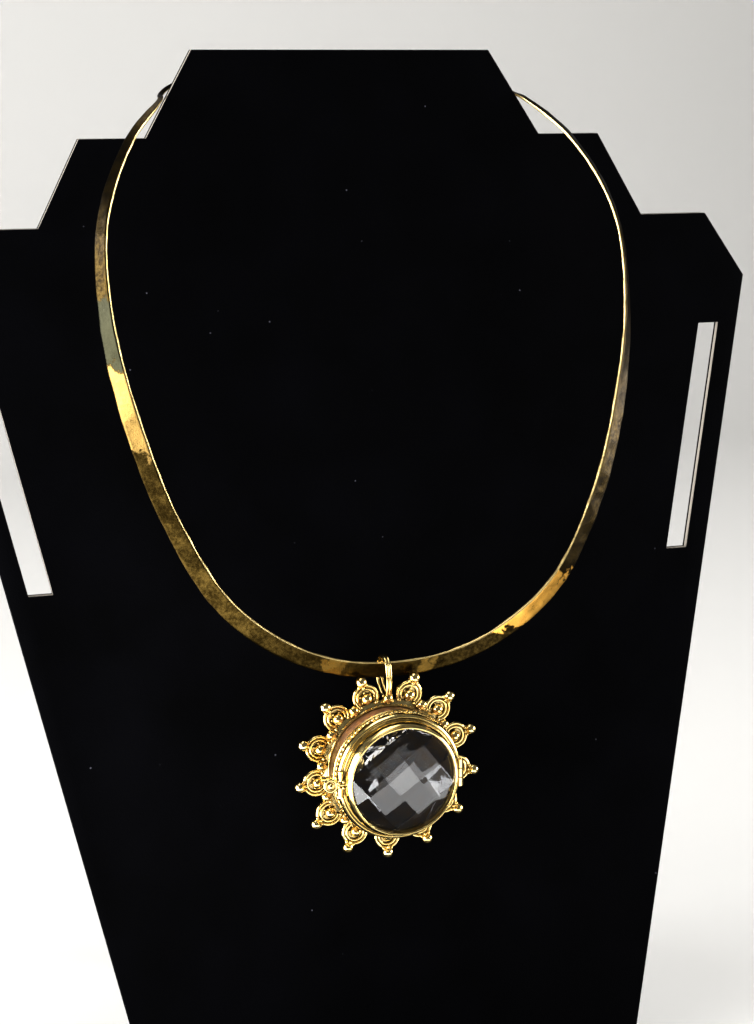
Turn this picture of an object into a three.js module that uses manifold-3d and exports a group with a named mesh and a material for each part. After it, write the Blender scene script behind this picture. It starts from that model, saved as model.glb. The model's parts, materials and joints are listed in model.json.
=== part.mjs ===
// A rigid gilt collar with a sun-shaped locket, standing on a velvet neck display board.
//
// Frame: millimetres, +Z up, the front faces -Y, +X to the right seen from the front.
// The board leans back, and an easel strut behind it carries it. The locket is a round box
// with a crystal lid. It hangs from the collar by a wire bail.

import * as THREE from 'three';
import { mergeVertices } from 'three/addons/utils/BufferGeometryUtils.js';
import { ConvexGeometry } from 'three/addons/geometries/ConvexGeometry.js';
import Module from 'manifold-3d';

const wasm = await Module();
wasm.setup();

// ---- driving dimensions ------------------------------------------------------------------

const PLAY = 0.3;                        // gap between neighbouring pieces

const LEAN = THREE.MathUtils.degToRad(11);
const BOARD_DEPTH = 3 / Math.cos(LEAN);
const BOARD_OUTLINE = [
  { corner: 'foot', halfWidth: 61.8, height: 0 },
  { corner: 'side', halfWidth: 106.8, height: 201.6 },
  { corner: 'outer chamfer', halfWidth: 96.7, height: 217.7 },
  { corner: 'lower shoulder', halfWidth: 78.4, height: 217.7 },
  { corner: 'upper shoulder', halfWidth: 67.4, height: 238.5 },
  { corner: 'neck root', halfWidth: 51, height: 238.5 },
  { corner: 'neck top', halfWidth: 38.5, height: 259.5 },
];
const SLOT = { foot: 132, top: 189.5, outerInset: 5, width: 6 };

const STRUT_HEIGHT = 150;
const STRUT_REACH = 105;                 // from the board's front foot to the strut's back
const STRUT_DEPTH = 3.4;
const STRUT_HALF_TOP = 26;
const STRUT_HALF_FOOT = 38;

const COLLAR_THICKNESS = 0.9;
const COLLAR_STEPS_PER_ROW = 3;
// standOff is in front of the board, flare turns the band's face outward, away from the neck
const COLLAR_ROWS = [
  { halfWidth: 6, height: 254.6, standOff: -8, bandWidth: 1.2, flare: 0 },
  { halfWidth: 21, height: 254.4, standOff: -8, bandWidth: 1.2, flare: 0 },
  { halfWidth: 34, height: 253, standOff: -7.8, bandWidth: 1.2, flare: 5 },
  { halfWidth: 43, height: 250.6, standOff: -7, bandWidth: 1.2, flare: 15 },
  { halfWidth: 46.3, height: 248.4, standOff: -3.9, bandWidth: 1.2, flare: 25 },
  { halfWidth: 47, height: 247.7, standOff: 0.2, bandWidth: 1.3, flare: 35 },
  { halfWidth: 56.6, height: 238.3, standOff: 7, bandWidth: 2.7, flare: 58 },
  { halfWidth: 65.2, height: 220.2, standOff: 12.5, bandWidth: 3.7, flare: 62 },
  { halfWidth: 66.2, height: 197.2, standOff: 15, bandWidth: 4.3, flare: 52 },
  { halfWidth: 61.6, height: 172.4, standOff: 16.7, bandWidth: 4.6, flare: 30 },
  { halfWidth: 53.9, height: 150, standOff: 17, bandWidth: 4.6, flare: 24 },
  { halfWidth: 41.5, height: 129.2, standOff: 16, bandWidth: 4.7, flare: 20 },
  { halfWidth: 21.5, height: 115.5, standOff: 14, bandWidth: 4.4, flare: 16 },
  { halfWidth: 0, height: 111.3, standOff: 12, bandWidth: 4.4, flare: 16 },
];
const CLASP = { radius: 1.6, sides: 16 };

// the locket's centre, in the plane of its rays
const LOCKET = { x: -2.6, y: 7.5, z: 87.7 };

const RAY_COUNT = 13;
const BAIL_GAP = THREE.MathUtils.degToRad(35);
const RAY_RADIUS = 18.5;
const TIP_RADIUS = 22.75;
const VALLEY_RADIUS = 17.1;
const TIP_GRANULE = { radius: 1.35, lift: 0.6 };
const RAY_GRANULE = { radius: 1.35, lift: 0.9 };
const VALLEY_GRANULE = { radius: 1.25, lift: 0.65 };
const ROUND_BEAD_SIDES = 10;
const ROUND_BEAD_RINGS = 5;

// radii and forward positions of the turned parts, from the rays' plane
const CASE_PROFILE = [
  { radius: 0, forward: -7.3 },
  { radius: 11, forward: -7 },
  { radius: 14, forward: -6.1 },
  { radius: 14.6, forward: -5.1 },
  { radius: 14.6, forward: -0.6 },
  { radius: 16.6, forward: -0.6 },
  { radius: 16.6, forward: 0.4 },
  { radius: 15.5, forward: 0.6 },
  { radius: 15.5, forward: 1.2 },
  { radius: 14.9, forward: 1.5 },
  { radius: 14.9, forward: 6.7 },
  { radius: 15.8, forward: 6.9 },
  { radius: 16.1, forward: 7.4 },
  { radius: 15.8, forward: 7.9 },
  { radius: 15.1, forward: 8.1 },
  { radius: 15.7, forward: 8.4 },
  { radius: 15.9, forward: 8.9 },
  { radius: 15.7, forward: 9.4 },
  { radius: 15.2, forward: 9.6 },
  { radius: 15.75, forward: 10 },
  { radius: 15.75, forward: 10.5 },
  { radius: 15.4, forward: 10.8 },
  { radius: 14.75, forward: 10.7 },
  { radius: 14.75, forward: 9.9 },
  { radius: 13.4, forward: 9.9 },
  { radius: 13.4, forward: -5.1 },
  { radius: 0, forward: -5.9 },
];
const LID_PROFILE = [
  { radius: 12.6, forward: 10.2 },
  { radius: 14.4, forward: 10.2 },
  { radius: 14.4, forward: 11.3 },
  { radius: 14.2, forward: 11.7 },
  { radius: 13.65, forward: 13.8 },
  { radius: 13.3, forward: 14 },
  { radius: 13.05, forward: 13.8 },
  { radius: 13.5, forward: 13.2 },
  { radius: 13.5, forward: 12.1 },
  { radius: 12.6, forward: 12.1 },
];
const TURNED_SIDES = 32;
const CASE_WALL_CENTRE = 14.2;

const PETAL_PROFILE = [
  { radius: 0, forward: -0.6 },
  { radius: 3.2, forward: -0.6 },
  { radius: 3.4, forward: 0.1 },
  { radius: 3.05, forward: 0.8 },
  { radius: 2.65, forward: 0.35 },
  { radius: 2.25, forward: 0.85 },
  { radius: 1.85, forward: 0.2 },
  { radius: 0, forward: 0.2 },
];
const PETAL_SIDES = 12;

const BAIL_WIRE_RADIUS = 0.38;
// the strand's route, from the front of the top granule over the collar to the back plate
const BAIL_ROUTE = [
  { spread: 0.35, forward: 0.9, rise: 17.2 },
  { spread: 0.4, forward: 1.7, rise: 19.6 },
  { spread: 0.6, forward: 1.7, rise: 22.6 },
  { spread: 0.75, forward: 0.7, rise: 25.9 },
  { spread: 0.8, forward: -2, rise: 27.3 },
  { spread: 0.75, forward: -4.8, rise: 25.9 },
  { spread: 0.7, forward: -6.2, rise: 22.6 },
  { spread: 0.65, forward: -4.4, rise: 19 },
  { spread: 0.6, forward: -0.6, rise: 16.6 },
];
const BAIL_STEPS = 20;
const WIRE_SIDES = 6;

const HINGE = { radius: 15.1, forward: 11.1, knuckle: 0.85, bore: 0.54, pin: 0.23 };
const LID_KNUCKLE_LENGTH = 2;
const CASE_KNUCKLE_LENGTH = 2;
const LEAF = { reach: 1.6, thickness: 0.6, back: 0.1 };
const HINGE_SIDES = 12;

const CATCH = { radius: 15.35, knuckle: 0.6, length: 2.4, barHalf: 0.6 };
const CATCH_PEG = { radius: 0.75, forward: 6, reach: 18.6 };
const THUMB = { radius: 17.9, forward: 11.45, ring: 1.45, wire: 0.42, sides: 14 };
const THUMB_BAR = { root: 13.6, thickness: 0.7 };
const THUMB_DISC = { thickness: 0.4, back: 0.15 };
const THUMB_BEAD = { radius: 0.85, lift: 0.3 };

const STONE = { radius: 13.1, girdleBack: 12.6, girdleFront: 13.1, crown: 2.6, pavilion: 2 };
// square facets: their size, their turn, how far their corners run from the middle in cells,
// and the share of the radius that they stay inside
const FACET = { cell: 5.9, turn: THREE.MathUtils.degToRad(38), reach: 2.5, inside: 0.95 };
const STONE_SIDES = 28;

// ---- finishes ----------------------------------------------------------------------------

const finishes = {
  velvet: { color: 0x07070a, roughness: 0.95, metalness: 0 },
  hammeredGold: { color: 0x9c7427, roughness: 0.35, metalness: 1 },
  brightGold: { color: 0xd9b04a, roughness: 0.22, metalness: 1 },
  rockCrystal: { color: 0xdfe2ea, roughness: 0.03, metalness: 0 },
};

function piece(name, geometry, finish) {
  const mesh = new THREE.Mesh(geometry, new THREE.MeshStandardMaterial(finishes[finish]));
  mesh.name = name;
  return mesh;
}

// ---- solids ------------------------------------------------------------------------------

function toSolid(geometry) {
  const bare = geometry.clone();
  bare.deleteAttribute('normal');
  bare.deleteAttribute('uv');
  const merged = mergeVertices(bare);
  return new wasm.Manifold(new wasm.Mesh({
    numProp: 3,
    vertProperties: merged.attributes.position.array,
    triVerts: Uint32Array.from(merged.index.array),
  }));
}

function toGeometry(solid) {
  const mesh = solid.getMesh();
  const geometry = new THREE.BufferGeometry();
  geometry.setAttribute('position', new THREE.BufferAttribute(mesh.vertProperties, 3));
  geometry.setIndex(new THREE.BufferAttribute(mesh.triVerts, 1));
  geometry.computeVertexNormals();
  return geometry;
}

function joined(geometries) {
  return geometries.map(toSolid).reduce((whole, solid) => whole.add(solid));
}

function carved(solid, cutters) {
  return cutters.map(toSolid).reduce((rest, cutter) => rest.subtract(cutter), solid);
}

// turned about the locket's axis, which points forward along -Y
function turned(profile, sides) {
  const points = profile.map((row) => new THREE.Vector2(row.radius, row.forward));
  return new THREE.LatheGeometry(points, sides).rotateX(Math.PI);
}

function turnedRing(profile, sides) {
  return turned([...profile, profile[0]], sides);
}

function bead(radius) {
  return new THREE.SphereGeometry(radius, ROUND_BEAD_SIDES, ROUND_BEAD_RINGS);
}

function uprightCylinder(radius, length) {
  return new THREE.CylinderGeometry(radius, radius, length, HINGE_SIDES).rotateX(Math.PI / 2);
}

// ---- display -----------------------------------------------------------------------------

function boardEdge(height) {
  const [foot, side] = BOARD_OUTLINE;
  return foot.halfWidth + (side.halfWidth - foot.halfWidth) * height / side.height;
}

function slotShape(side) {
  const inner = SLOT.outerInset + SLOT.width;
  return new THREE.Shape([
    new THREE.Vector2(side * (boardEdge(SLOT.foot) - SLOT.outerInset), SLOT.foot),
    new THREE.Vector2(side * (boardEdge(SLOT.top) - SLOT.outerInset), SLOT.top),
    new THREE.Vector2(side * (boardEdge(SLOT.top) - inner), SLOT.top),
    new THREE.Vector2(side * (boardEdge(SLOT.foot) - inner), SLOT.foot),
  ]);
}

// an upright outline made a slab, then leaned over its level foot
function leaningSlab(shape, depth, slope) {
  const slab = new THREE.ExtrudeGeometry(shape, { depth, bevelEnabled: false });
  slab.rotateX(Math.PI / 2);
  slab.translate(0, depth, 0);
  return slab.applyMatrix4(new THREE.Matrix4().makeShear(0, 0, 0, 0, 0, slope));
}

function displayBoard() {
  const slope = Math.tan(LEAN);
  const right = BOARD_OUTLINE.map((row) => new THREE.Vector2(row.halfWidth, row.height));
  const left = BOARD_OUTLINE.map((row) => new THREE.Vector2(-row.halfWidth, row.height));
  const outline = new THREE.Shape([...right, ...left.reverse()]);
  // each cutter runs one board's depth past both faces
  const cutters = [1, -1].map((side) => (
    leaningSlab(slotShape(side), 3 * BOARD_DEPTH, slope).translate(0, -BOARD_DEPTH, 0)
  ));
  return toGeometry(carved(toSolid(leaningSlab(outline, BOARD_DEPTH, slope)), cutters));
}

function displayStrut() {
  const topFront = STRUT_HEIGHT * Math.tan(LEAN) + BOARD_DEPTH + PLAY;
  const footFront = STRUT_REACH - STRUT_DEPTH;
  const slope = (topFront - footFront) / STRUT_HEIGHT;
  const shape = new THREE.Shape([
    new THREE.Vector2(STRUT_HALF_FOOT, 0),
    new THREE.Vector2(STRUT_HALF_TOP, STRUT_HEIGHT),
    new THREE.Vector2(-STRUT_HALF_TOP, STRUT_HEIGHT),
    new THREE.Vector2(-STRUT_HALF_FOOT, 0),
  ]);
  return leaningSlab(shape, STRUT_DEPTH, slope).translate(0, footFront, 0);
}

// ---- collar ------------------------------------------------------------------------------

function collarPoint(row, side) {
  return new THREE.Vector3(
    side * row.halfWidth,
    row.height * Math.tan(LEAN) - row.standOff,
    row.height,
  );
}

function mirroredRows(toPoint) {
  const right = COLLAR_ROWS.map((row) => toPoint(row, 1));
  const left = COLLAR_ROWS.slice(0, -1).map((row) => toPoint(row, -1));
  return new THREE.CatmullRomCurve3([...right, ...left.reverse()]);
}

// a flat bar bent along the route, which runs from the back round the right side
function neckCollar() {
  const route = mirroredRows(collarPoint);
  const section = mirroredRows((row) => new THREE.Vector3(row.bandWidth, row.flare, 0));
  const steps = (route.points.length - 1) * COLLAR_STEPS_PER_ROW;
  const bar = new THREE.BoxGeometry(1, 1, 1, steps, 1, 1);
  const place = bar.attributes.position;
  const forward = new THREE.Vector3(0, -1, 0);
  for (let i = 0; i < place.count; i += 1) {
    const along = place.getX(i) + 0.5;
    const centre = route.getPoint(along);
    const { x: bandWidth, y: flare } = section.getPoint(along);
    const tangent = route.getTangent(along);
    const inward = new THREE.Vector3().crossVectors(tangent, forward).normalize();
    const face = new THREE.Vector3().crossVectors(inward, tangent).normalize();
    const angle = THREE.MathUtils.degToRad(flare);
    const across = inward.clone().multiplyScalar(Math.cos(angle));
    across.addScaledVector(face, Math.sin(angle));
    const through = new THREE.Vector3().crossVectors(tangent, across);
    centre.addScaledVector(across, place.getY(i) * bandWidth);
    centre.addScaledVector(through, place.getZ(i) * COLLAR_THICKNESS);
    place.setXYZ(i, centre.x, centre.y, centre.z);
  }
  return bar;
}

function collarClasp() {
  const end = collarPoint(COLLAR_ROWS[0], 1);
  const length = 2 * (end.x - PLAY);
  const barrel = new THREE.CylinderGeometry(CLASP.radius, CLASP.radius, length, CLASP.sides);
  return barrel.rotateZ(Math.PI / 2).translate(0, end.y, end.z);
}

// ---- locket case -------------------------------------------------------------------------

function atClock(geometry, angle, radius, forward) {
  return geometry.translate(Math.sin(angle) * radius, -forward, Math.cos(angle) * radius);
}

function sunRays() {
  const spacing = (2 * Math.PI - BAIL_GAP) / (RAY_COUNT - 1);
  const parts = [];
  for (let ray = 0; ray < RAY_COUNT; ray += 1) {
    const angle = BAIL_GAP / 2 + ray * spacing;
    parts.push(atClock(turned(PETAL_PROFILE, PETAL_SIDES), angle, RAY_RADIUS, 0));
    parts.push(atClock(bead(RAY_GRANULE.radius), angle, RAY_RADIUS, RAY_GRANULE.lift));
    parts.push(atClock(bead(TIP_GRANULE.radius), angle, TIP_RADIUS, TIP_GRANULE.lift));
    const valley = ray < RAY_COUNT - 1 ? angle + spacing / 2 : 0;
    parts.push(atClock(bead(VALLEY_GRANULE.radius), valley, VALLEY_RADIUS, VALLEY_GRANULE.lift));
  }
  return parts;
}

function bailStrand(side) {
  const points = BAIL_ROUTE.map((row) => (
    new THREE.Vector3(side * row.spread, -row.forward, row.rise)
  ));
  const section = new THREE.Shape();
  section.absarc(0, 0, BAIL_WIRE_RADIUS, 0, 2 * Math.PI);
  return new THREE.ExtrudeGeometry(section, {
    steps: BAIL_STEPS,
    curveSegments: WIRE_SIDES,
    extrudePath: new THREE.CatmullRomCurve3(points),
  });
}

// a barrel above and one below the middle, each starting clear of it
function barrelPair(x, radius, length, clear) {
  const offset = clear + length / 2;
  return [offset, -offset].map((rise) => (
    uprightCylinder(radius, length).translate(x, -HINGE.forward, rise)
  ));
}

function catchPeg() {
  const length = CATCH_PEG.reach - CASE_WALL_CENTRE;
  const peg = new THREE.CylinderGeometry(CATCH_PEG.radius, CATCH_PEG.radius, length, HINGE_SIDES);
  return peg.rotateZ(Math.PI / 2).translate(-CASE_WALL_CENTRE - length / 2, -CATCH_PEG.forward, 0);
}

function hingeBarrel(radius, length) {
  return uprightCylinder(radius, length).translate(HINGE.radius, -HINGE.forward, 0);
}

function locketCase() {
  const lidClear = LID_KNUCKLE_LENGTH / 2 + PLAY;
  const catchClear = CATCH.barHalf + PLAY;
  const boreLength = 2 * (lidClear + CASE_KNUCKLE_LENGTH + PLAY);
  const whole = joined([
    turned(CASE_PROFILE, TURNED_SIDES),
    ...sunRays(),
    bailStrand(1),
    bailStrand(-1),
    ...barrelPair(HINGE.radius, HINGE.knuckle, CASE_KNUCKLE_LENGTH, lidClear),
    ...barrelPair(-CATCH.radius, CATCH.knuckle, CATCH.length, catchClear),
    catchPeg(),
  ]);
  return carved(whole, [
    hingeBarrel(HINGE.knuckle + PLAY, 2 * lidClear),
    hingeBarrel(HINGE.bore, boreLength),
  ]);
}

function hingePin() {
  return hingeBarrel(HINGE.pin, LID_KNUCKLE_LENGTH + 2 * (PLAY + CASE_KNUCKLE_LENGTH));
}

// ---- lid and stone -----------------------------------------------------------------------

function thumbPiece() {
  const barLength = THUMB.radius - THUMB_BAR.root;
  const bar = new THREE.BoxGeometry(barLength, THUMB_BAR.thickness, 2 * CATCH.barHalf);
  bar.translate(barLength / 2, 0, 0);
  const disc = new THREE.CylinderGeometry(
    THUMB.ring,
    THUMB.ring,
    THUMB_DISC.thickness,
    THUMB.sides,
  );
  disc.translate(0, THUMB_DISC.back, 0);
  const ring = new THREE.TorusGeometry(THUMB.ring, THUMB.wire, WIRE_SIDES, THUMB.sides);
  ring.rotateX(Math.PI / 2);
  const button = bead(THUMB_BEAD.radius).translate(0, -THUMB_BEAD.lift, 0);
  return [bar, disc, ring, button].map((part) => (
    part.translate(-THUMB.radius, -THUMB.forward, 0)
  ));
}

function locketLid() {
  const leaf = new THREE.BoxGeometry(LEAF.reach, LEAF.thickness, LID_KNUCKLE_LENGTH);
  leaf.translate(HINGE.radius - LEAF.reach / 2, -HINGE.forward + LEAF.back, 0);
  const whole = joined([
    turnedRing(LID_PROFILE, TURNED_SIDES),
    hingeBarrel(HINGE.knuckle, LID_KNUCKLE_LENGTH),
    leaf,
    ...thumbPiece(),
  ]);
  const caseRoom = CASE_KNUCKLE_LENGTH + 2 * PLAY;
  const catchRoom = CATCH.length + 2 * PLAY;
  return carved(whole, [
    ...barrelPair(HINGE.radius, HINGE.knuckle + PLAY, caseRoom, LID_KNUCKLE_LENGTH / 2),
    ...barrelPair(-CATCH.radius, CATCH.knuckle + PLAY, catchRoom, CATCH.barHalf),
    hingeBarrel(HINGE.bore, LID_KNUCKLE_LENGTH + PLAY),
  ]);
}

// a dome whose height falls with the square of the radius, so each square facet lies flat
function domePoints(centre, height) {
  const points = [];
  for (let i = -FACET.reach; i <= FACET.reach; i += 1) {
    for (let j = -FACET.reach; j <= FACET.reach; j += 1) {
      const corner = new THREE.Vector2(i, j).multiplyScalar(FACET.cell);
      corner.rotateAround(new THREE.Vector2(), FACET.turn);
      const share = corner.length() / STONE.radius;
      if (share < FACET.inside) {
        points.push(new THREE.Vector3(corner.x, -(centre - height * share * share), corner.y));
      }
    }
  }
  return points;
}

function girdlePoints(forward) {
  return Array.from({ length: STONE_SIDES }, (_, side) => {
    const angle = 2 * Math.PI * side / STONE_SIDES;
    const x = Math.sin(angle) * STONE.radius;
    return new THREE.Vector3(x, -forward, Math.cos(angle) * STONE.radius);
  });
}

function rockCrystal() {
  return new ConvexGeometry([
    ...domePoints(STONE.girdleFront + STONE.crown, STONE.crown),
    ...girdlePoints(STONE.girdleFront),
    ...girdlePoints(STONE.girdleBack),
    ...domePoints(STONE.girdleBack - STONE.pavilion, -STONE.pavilion),
  ]);
}

// ---- assembly ----------------------------------------------------------------------------

const locket = new THREE.Group();
locket.position.set(LOCKET.x, LOCKET.y, LOCKET.z);
locket.add(piece('locket_case', toGeometry(locketCase()), 'brightGold'));
locket.add(piece('hinge_pin', hingePin(), 'brightGold'));
locket.add(piece('locket_lid', toGeometry(locketLid()), 'brightGold'));
locket.add(piece('rock_crystal', rockCrystal(), 'rockCrystal'));

const necklace = new THREE.Group();
necklace.add(piece('display_board', displayBoard(), 'velvet'));
necklace.add(piece('display_strut', displayStrut(), 'velvet'));
necklace.add(piece('neck_collar', neckCollar(), 'hammeredGold'));
necklace.add(piece('collar_clasp', collarClasp(), 'hammeredGold'));
necklace.add(locket);

const extent = new THREE.Box3().setFromObject(necklace);
const middle = extent.getCenter(new THREE.Vector3());
necklace.position.set(-middle.x, -middle.y, -extent.min.z);

export default necklace;
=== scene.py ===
import json
import math

import bmesh
import bpy
from mathutils import Matrix, Vector

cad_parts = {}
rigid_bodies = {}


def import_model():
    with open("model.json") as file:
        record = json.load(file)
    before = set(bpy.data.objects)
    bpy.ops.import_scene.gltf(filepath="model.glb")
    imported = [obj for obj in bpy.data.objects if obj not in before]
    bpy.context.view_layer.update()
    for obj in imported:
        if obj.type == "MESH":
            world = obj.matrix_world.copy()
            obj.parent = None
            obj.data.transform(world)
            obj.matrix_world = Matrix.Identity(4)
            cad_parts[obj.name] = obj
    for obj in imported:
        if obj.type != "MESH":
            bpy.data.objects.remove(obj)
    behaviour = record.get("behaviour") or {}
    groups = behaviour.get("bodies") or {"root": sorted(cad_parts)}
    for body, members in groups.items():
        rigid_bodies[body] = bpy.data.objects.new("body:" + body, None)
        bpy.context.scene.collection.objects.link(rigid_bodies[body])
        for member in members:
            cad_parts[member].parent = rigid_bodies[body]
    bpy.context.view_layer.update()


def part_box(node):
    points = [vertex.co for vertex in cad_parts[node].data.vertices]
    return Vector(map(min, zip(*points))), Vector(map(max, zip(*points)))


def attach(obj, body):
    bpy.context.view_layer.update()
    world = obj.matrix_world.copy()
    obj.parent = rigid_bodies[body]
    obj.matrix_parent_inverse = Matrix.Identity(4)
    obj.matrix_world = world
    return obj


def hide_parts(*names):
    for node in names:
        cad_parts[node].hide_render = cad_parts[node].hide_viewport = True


bl_info = {
    "name": "Sun locket necklace on a neck bust",
    "version": (1, 0, 0),
    "blender": (4, 5, 0),
    "location": "3D View > Sidebar > Necklace",
    "description": "Models the finished surfaces of a sun locket, its collar and its velvet stand",
    "category": "Add Mesh",
}

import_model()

MM = 0.001

# ---- places taken from the frame ----

CASE_BACK = 7.3 * MM
stone_low, stone_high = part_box("rock_crystal")
# the middle of the locket, in the plane of its rays
LOCKET = Vector((
    (stone_low.x + stone_high.x) / 2,
    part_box("locket_case")[1].y - CASE_BACK,
    (stone_low.z + stone_high.z) / 2,
))
BOARD_FOOT_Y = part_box("display_board")[0].y
LEAN_ANGLE = math.radians(11)
BOARD_LEAN = math.tan(LEAN_ANGLE)


def at(x, forward, rise):
    """A point given in millimetres from the middle of the locket."""
    return LOCKET + Vector((x, -forward, rise)) * MM


def on_board(x, z, depth=0.0):
    """A point given in millimetres on the leaning front face, or a depth behind it."""
    return Vector((x * MM, BOARD_FOOT_Y + (z * BOARD_LEAN + depth) * MM, z * MM))


# ---- measurements, in millimetres ----

# half the board's width at each height
BOARD_OUTLINE = (
    (61.8, 0.0), (106.8, 201.6), (96.7, 217.7), (78.4, 217.7), (67.4, 238.5), (51.0, 238.5),
    (38.5, 259.5),
)
BOARD_DEPTH = 3.0 / math.cos(LEAN_ANGLE)
VELVET_DEPTH = 0.95
CARD_INSET = 0.12
# inner edge, outer edge and height of each end of the slot
SLOT_ENDS = ((80.26, 86.26, 132.0), (93.1, 99.1, 189.5))

STRUT_TOP = (26.0, 150.0)
STRUT_FOOT = (38.0, 0.0)
STRUT_DEPTH = 3.4

# half width, height, distance in front of the board, width of the band, and how many degrees
# the band's face turns outward, away from the neck
COLLAR_ROWS = (
    (6.0, 254.6, -8.0, 1.2, 0.0),
    (21.0, 254.4, -8.0, 1.2, 0.0),
    (34.0, 253.0, -7.8, 1.2, 5.0),
    (43.0, 250.6, -7.0, 1.2, 15.0),
    (46.3, 248.4, -3.9, 1.2, 25.0),
    (47.0, 247.7, 0.2, 1.3, 35.0),
    (56.6, 238.3, 7.0, 2.7, 58.0),
    (65.2, 220.2, 12.5, 3.7, 62.0),
    (66.2, 197.2, 15.0, 4.3, 52.0),
    (61.6, 172.4, 16.7, 4.6, 30.0),
    (53.9, 150.0, 17.0, 4.6, 24.0),
    (41.5, 129.2, 16.0, 4.7, 20.0),
    (21.5, 115.5, 14.0, 4.4, 16.0),
    (0.0, 111.3, 12.0, 4.4, 16.0),
)
COLLAR_STEP = 1.6
ROUTE_STEPS = 2000
SMALLEST_GAP = 1e-6
NECK_CENTRE = (0.0, 0.0, 0.185)
# painted reflections on the collar: along which axis, from where to where, the side of the collar,
# and the colour painted there
PAINTED_REFLECTIONS = (
    ("Z", 167.0, 187.0, -1, "reflected_gold"),
    ("Z", 187.6, 203.0, -1, "reflected_olive"),
    ("Z", 119.5, 131.5, 1, "reflected_orange"),
    ("X", -18.5, -13.0, -1, "glint"),
    ("X", 7.0, 9.0, 1, "glint"),
)
# how far the ends of the painted reflections stray, in millimetres
REFLECTION_RAGGED = 2.5

RAY_COUNT = 13
BAIL_GAP = math.radians(35)
RAY_SPACING = (2 * math.pi - BAIL_GAP) / (RAY_COUNT - 1)
RAY_RADIUS = 18.5
VALLEY_RADIUS = 17.1

# how far to the side, forward and up each strand of the bail runs
BAIL_ROUTE = (
    (0.33, 0.9, 17.2),
    (0.36, 1.7, 19.6),
    (0.38, 1.7, 22.6),
    (0.4, 0.65, 25.8),
    (0.44, -2.0, 27.1),
    (0.5, -4.8, 25.8),
    (0.56, -6.2, 22.6),
    (0.6, -4.4, 19.0),
    (0.6, -0.6, 16.6),
)
BAIL_STEPS = 48

HINGE_RADIUS = 15.1
HINGE_FORWARD = 11.1
CATCH_RADIUS = 15.35
# radius of the barrels, and how far they reach above and below the middle
BARREL = 0.85
BARREL_END = 3.3
KNUCKLE_END = 1.0
# the same for the space that the lid's knuckle turns in
ROOM = 1.15
ROOM_END = 1.3
# how far a rod's side swells between its rims, as a share of the rim
RIM_SWELL = 0.7


# ---- modelling by hand ----

def to_object_mode():
    if bpy.context.mode != "OBJECT":
        bpy.ops.object.mode_set(mode="OBJECT")


def choose_all(action):
    bpy.ops.mesh.select_all(action=action)


def open_piece(name):
    """A piece with nothing in it yet, at the origin and open for editing."""
    to_object_mode()
    bpy.ops.object.select_all(action="DESELECT")
    bpy.ops.mesh.primitive_plane_add(size=MM)
    piece = bpy.context.object
    piece.name = name
    piece.data.name = name
    bpy.ops.object.mode_set(mode="EDIT")
    bpy.ops.mesh.select_mode(type="VERT")
    bpy.ops.mesh.delete(type="VERT")
    return piece


def pull(offset):
    """Pulls new faces or edges out of what is selected."""
    bpy.ops.mesh.extrude_region_move(TRANSFORM_OT_translate={"value": offset})


def spin(steps, angle=2 * math.pi, centre=LOCKET, **how):
    """Sweeps what is selected about a line that runs from front to back."""
    bpy.ops.mesh.spin(steps=steps, angle=angle, center=centre, axis=(0, 1, 0), **how)


def draw_chain(points):
    """Draws a line of edges by pulling one corner from point to point."""
    choose_all("DESELECT")
    bpy.ops.mesh.primitive_plane_add(size=MM / 100, location=points[0])
    bpy.ops.mesh.merge(type="CENTER")
    for here, there in zip(points, points[1:]):
        pull(there - here)
    bpy.ops.mesh.select_linked()


def draw_loop(points):
    """Draws a closed line of edges."""
    draw_chain([*points, points[0]])
    bpy.ops.mesh.remove_doubles(threshold=MM / 1000)


def turn_outward():
    """Turns the faces of the shell that is selected right side out."""
    bpy.ops.mesh.select_linked()
    bpy.ops.mesh.normals_make_consistent(inside=False)


def draw_slab(outline, depth):
    """Fills an outline and gives it a depth in millimetres, towards the back."""
    draw_loop(outline)
    bpy.ops.mesh.edge_face_add()
    pull((0, depth * MM, 0))
    turn_outward()


def close_shell():
    """Merges the seam of the shell that is selected, caps its ends and turns it right side out."""
    bpy.ops.mesh.select_linked()
    bpy.ops.mesh.remove_doubles(threshold=MM / 2000)
    bpy.ops.mesh.fill_holes(sides=0)
    turn_outward()


def draw_turned(profile, steps):
    """Turns a line of (radius, forward) corners once round the locket's axis."""
    draw_chain([at(0, forward, radius) for radius, forward in profile])
    spin(steps)
    close_shell()


def add_cylinder(sides, radius, depth, place, turn=(math.pi / 2, 0, 0)):
    """A plain cylinder, which runs from front to back unless it is turned otherwise."""
    bpy.ops.mesh.primitive_cylinder_add(
        vertices=sides, radius=radius * MM, depth=depth, location=place, rotation=turn
    )


def draw_circle(place, radius, sides, turn):
    """A ring of edges: the outline of a wire."""
    bpy.ops.mesh.primitive_circle_add(
        vertices=sides, radius=radius * MM, location=place, rotation=turn
    )


def draw_wire_ring(radius, forward, wire, steps=144, sides=12):
    """A plain wire bent once round the locket's axis."""
    choose_all("DESELECT")
    draw_circle(at(0, forward, radius), wire, sides, (0, math.pi / 2, 0))
    spin(steps)
    close_shell()


def draw_ball(centre, radius, segments=20, squash=1.0):
    """A granule, flattened a little towards the plate that it sits on."""
    choose_all("DESELECT")
    bpy.ops.mesh.primitive_uv_sphere_add(
        segments=segments,
        ring_count=segments // 2,
        radius=radius * MM,
        location=centre,
        rotation=(math.pi / 2, 0, 0),
    )
    bpy.ops.transform.resize(value=(1, squash, 1), center_override=centre)


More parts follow.
